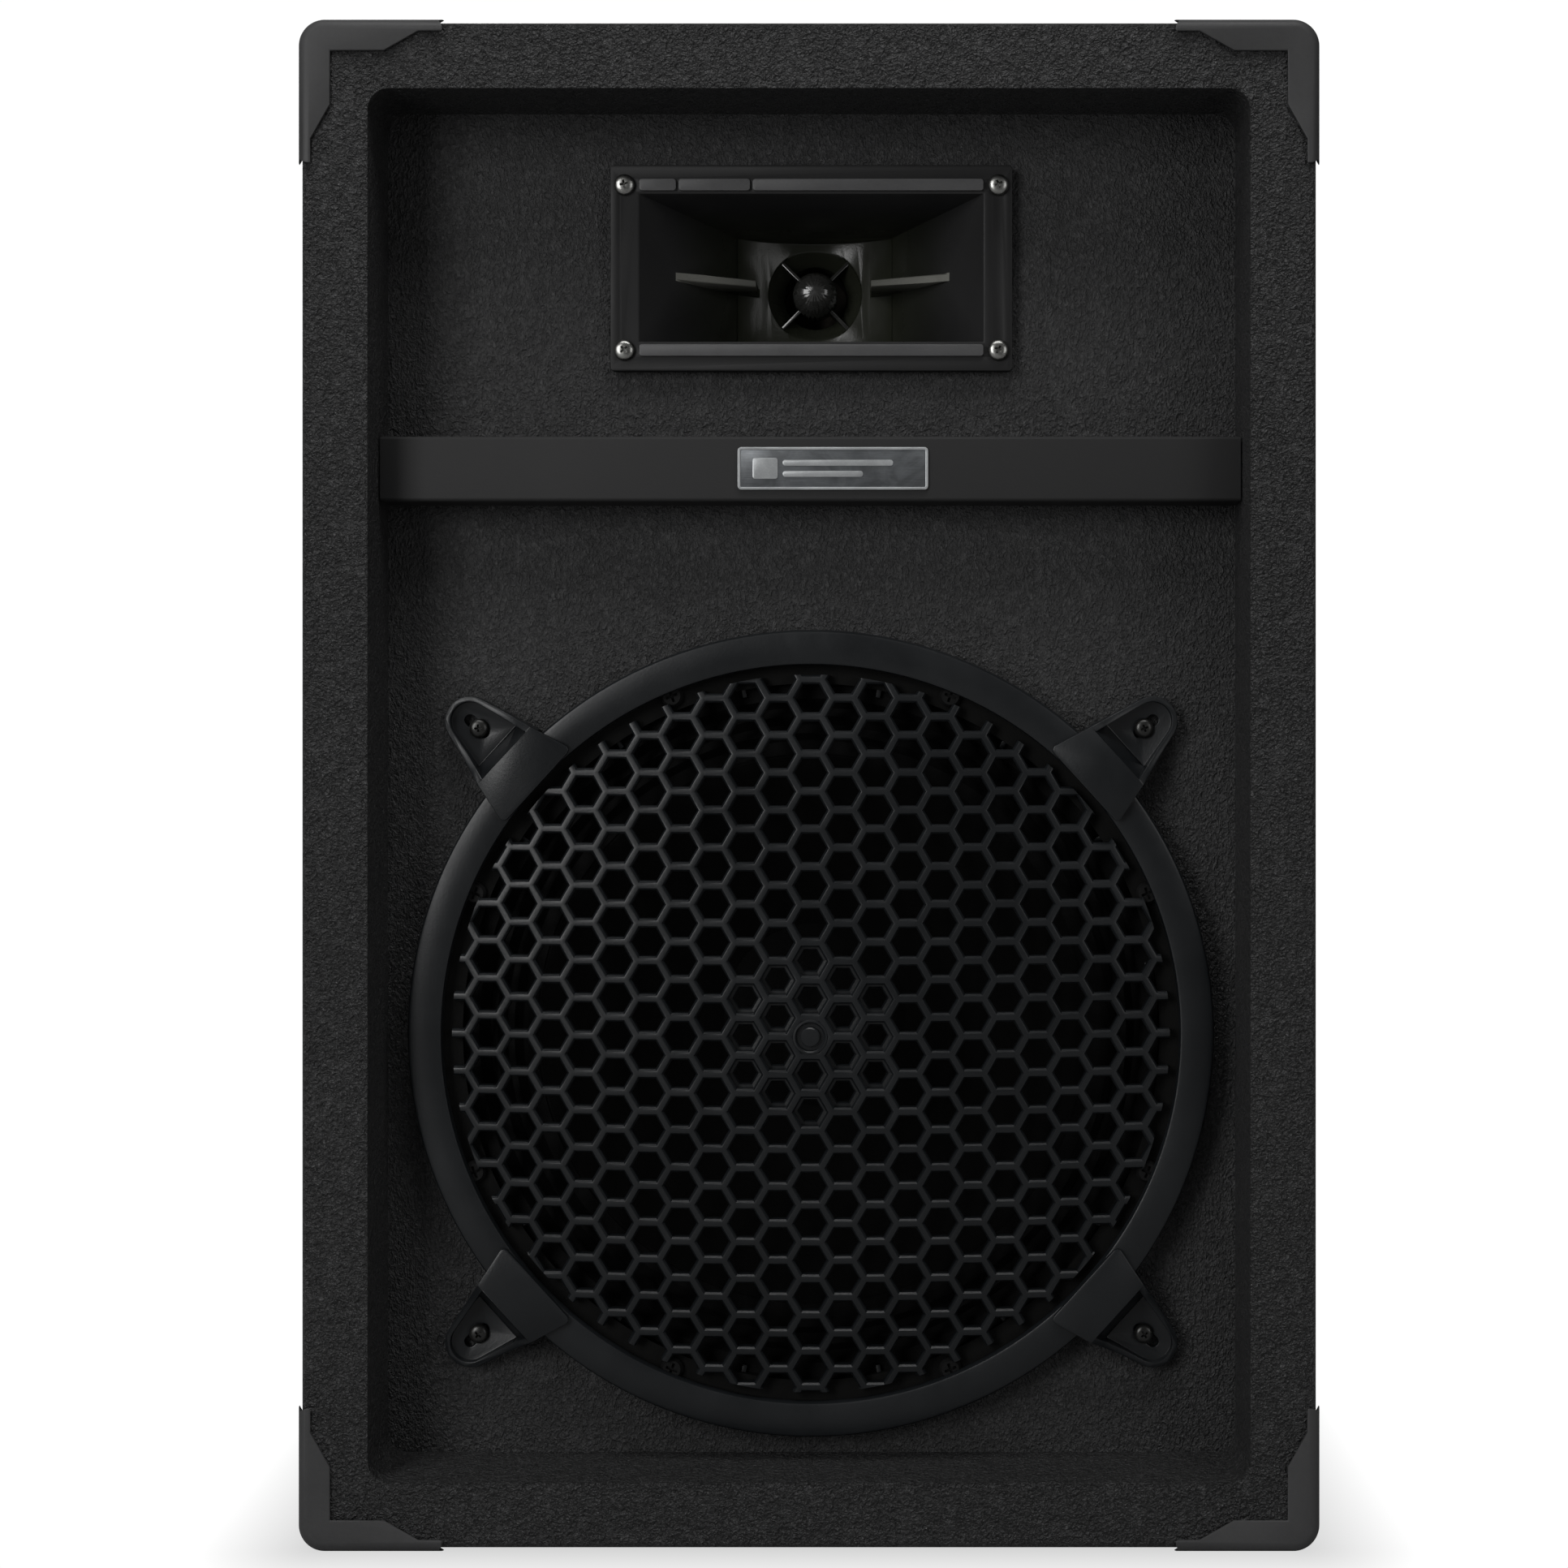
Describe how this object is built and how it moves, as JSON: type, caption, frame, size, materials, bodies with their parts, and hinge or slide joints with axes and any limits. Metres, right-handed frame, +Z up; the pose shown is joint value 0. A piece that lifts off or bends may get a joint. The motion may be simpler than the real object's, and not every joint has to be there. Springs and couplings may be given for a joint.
{
  "type": "pa speaker cabinet",
  "caption": "upright black vinyl-covered loudspeaker cabinet with a recessed front, a horn tweeter above a trim bar, a domed honeycomb woofer grille and moulded corners",
  "frame": {"origin": "on the floor, under the middle of the cabinet's bounding box", "axes": "+X to the right in a front view, +Y to the back, +Z up; the front faces -Y"},
  "size_m": [0.4, 0.33, 0.6],
  "materials": {
    "vinyl_covering": "heavily crinkled embossed black vinyl",
    "baffle_vinyl": "fine leather-grained black vinyl",
    "board": "raw chipboard",
    "back_paint": "black painted chipboard",
    "wadding": "white polyester wadding",
    "corner_grey": "satin moulded grey",
    "black_screw": "black passivated",
    "silver_screw": "bright zinc plated",
    "bar_grey": "smooth dark satin",
    "badge_metal": "brushed, lacquered",
    "horn_black": "semi-gloss moulded",
    "gasket_foam": "closed-cell foam",
    "diaphragm_paper": "pressed paper",
    "piezo_brass": "plain",
    "frame_steel": "black painted pressed steel",
    "gasket_card": "dark pressed card",
    "surround_cloth": "doped pleated cloth",
    "cone_paper": "black pulp paper",
    "coil_copper": "enamelled copper on a former",
    "spider_cloth": "resin-dipped cloth",
    "motor_steel": "zinc plated steel",
    "ferrite": "sintered ferrite",
    "terminal_board": "phenolic board",
    "grille_black": "satin moulded black",
    "dish_black": "fine-grained moulded black",
    "nut_steel": "nickel plated",
    "socket_metal": "black powder coat",
    "capacitor_film": "yellow film wrap",
    "wire_pvc": "PVC insulation"
  },
  "bodies": {
    "cabinet": {"acoustic_wadding": "wadding", "back_cleats": "board", "back_panel": "back_paint", "back_panel_screws": "black_screw", "badge_plate": "badge_metal", "baffle_board": "board", "baffle_cleats": "board", "baffle_covering": "baffle_vinyl", "bottom_panel": "board", "clamp_screws": "black_screw", "cone_surround": "surround_cloth", "corner_protector_front_bottom_left": "corner_grey", "corner_protector_front_bottom_right": "corner_grey", "corner_protector_front_top_left": "corner_grey", "corner_protector_front_top_right": "corner_grey", "corner_protector_rear_bottom_left": "corner_grey", "corner_protector_rear_bottom_right": "corner_grey", "corner_protector_rear_top_left": "corner_grey", "corner_protector_rear_top_right": "corner_grey", "corner_screws": "black_screw", "crossover_board": "terminal_board", "crossover_capacitor": "capacitor_film", "crossover_coil": "coil_copper", "dish_screws": "black_screw", "grille_clamps": "grille_black", "handle_left": "dish_black", "handle_right": "dish_black", "handle_screws": "black_screw", "horn_body": "horn_black", "horn_driver_cap": "horn_black", "horn_gasket": "gasket_foam", "horn_phase_plug": "horn_black", "horn_screws": "silver_screw", "internal_wires": "wire_pvc", "jack_nuts": "nut_steel", "jack_sockets": "dish_black", "magnet": "ferrite", "outer_covering": "vinyl_covering", "piezo_diaphragm": "diaphragm_paper", "piezo_disc": "piezo_brass", "pole_socket": "socket_metal", "pole_socket_screws": "black_screw", "side_panel_left": "board", "side_panel_right": "board", "spider": "spider_cloth", "terminal_dish": "dish_black", "tinsel_leads": "coil_copper", "top_panel": "board", "top_plate": "motor_steel", "trim_bar": "bar_grey", "trim_bar_screws": "black_screw", "woofer_frame": "frame_steel", "woofer_gasket": "gasket_card", "woofer_grille": "grille_black", "woofer_screws": "black_screw", "woofer_terminal": "terminal_board", "yoke": "motor_steel"},
    "cone_group": {"woofer_cone": "cone_paper", "dust_cap": "cone_paper", "voice_coil": "coil_copper"}
  },
  "joints": [
    {"name": "cone_travel", "type": "slide", "parent": "cabinet", "child": "cone_group", "axis": [0, -1, 0], "range_m": [-0.004, 0.004], "stiffness_N_per_m": 4000, "deforming": ["cone_surround", "spider", "tinsel_leads"]}
  ]
}
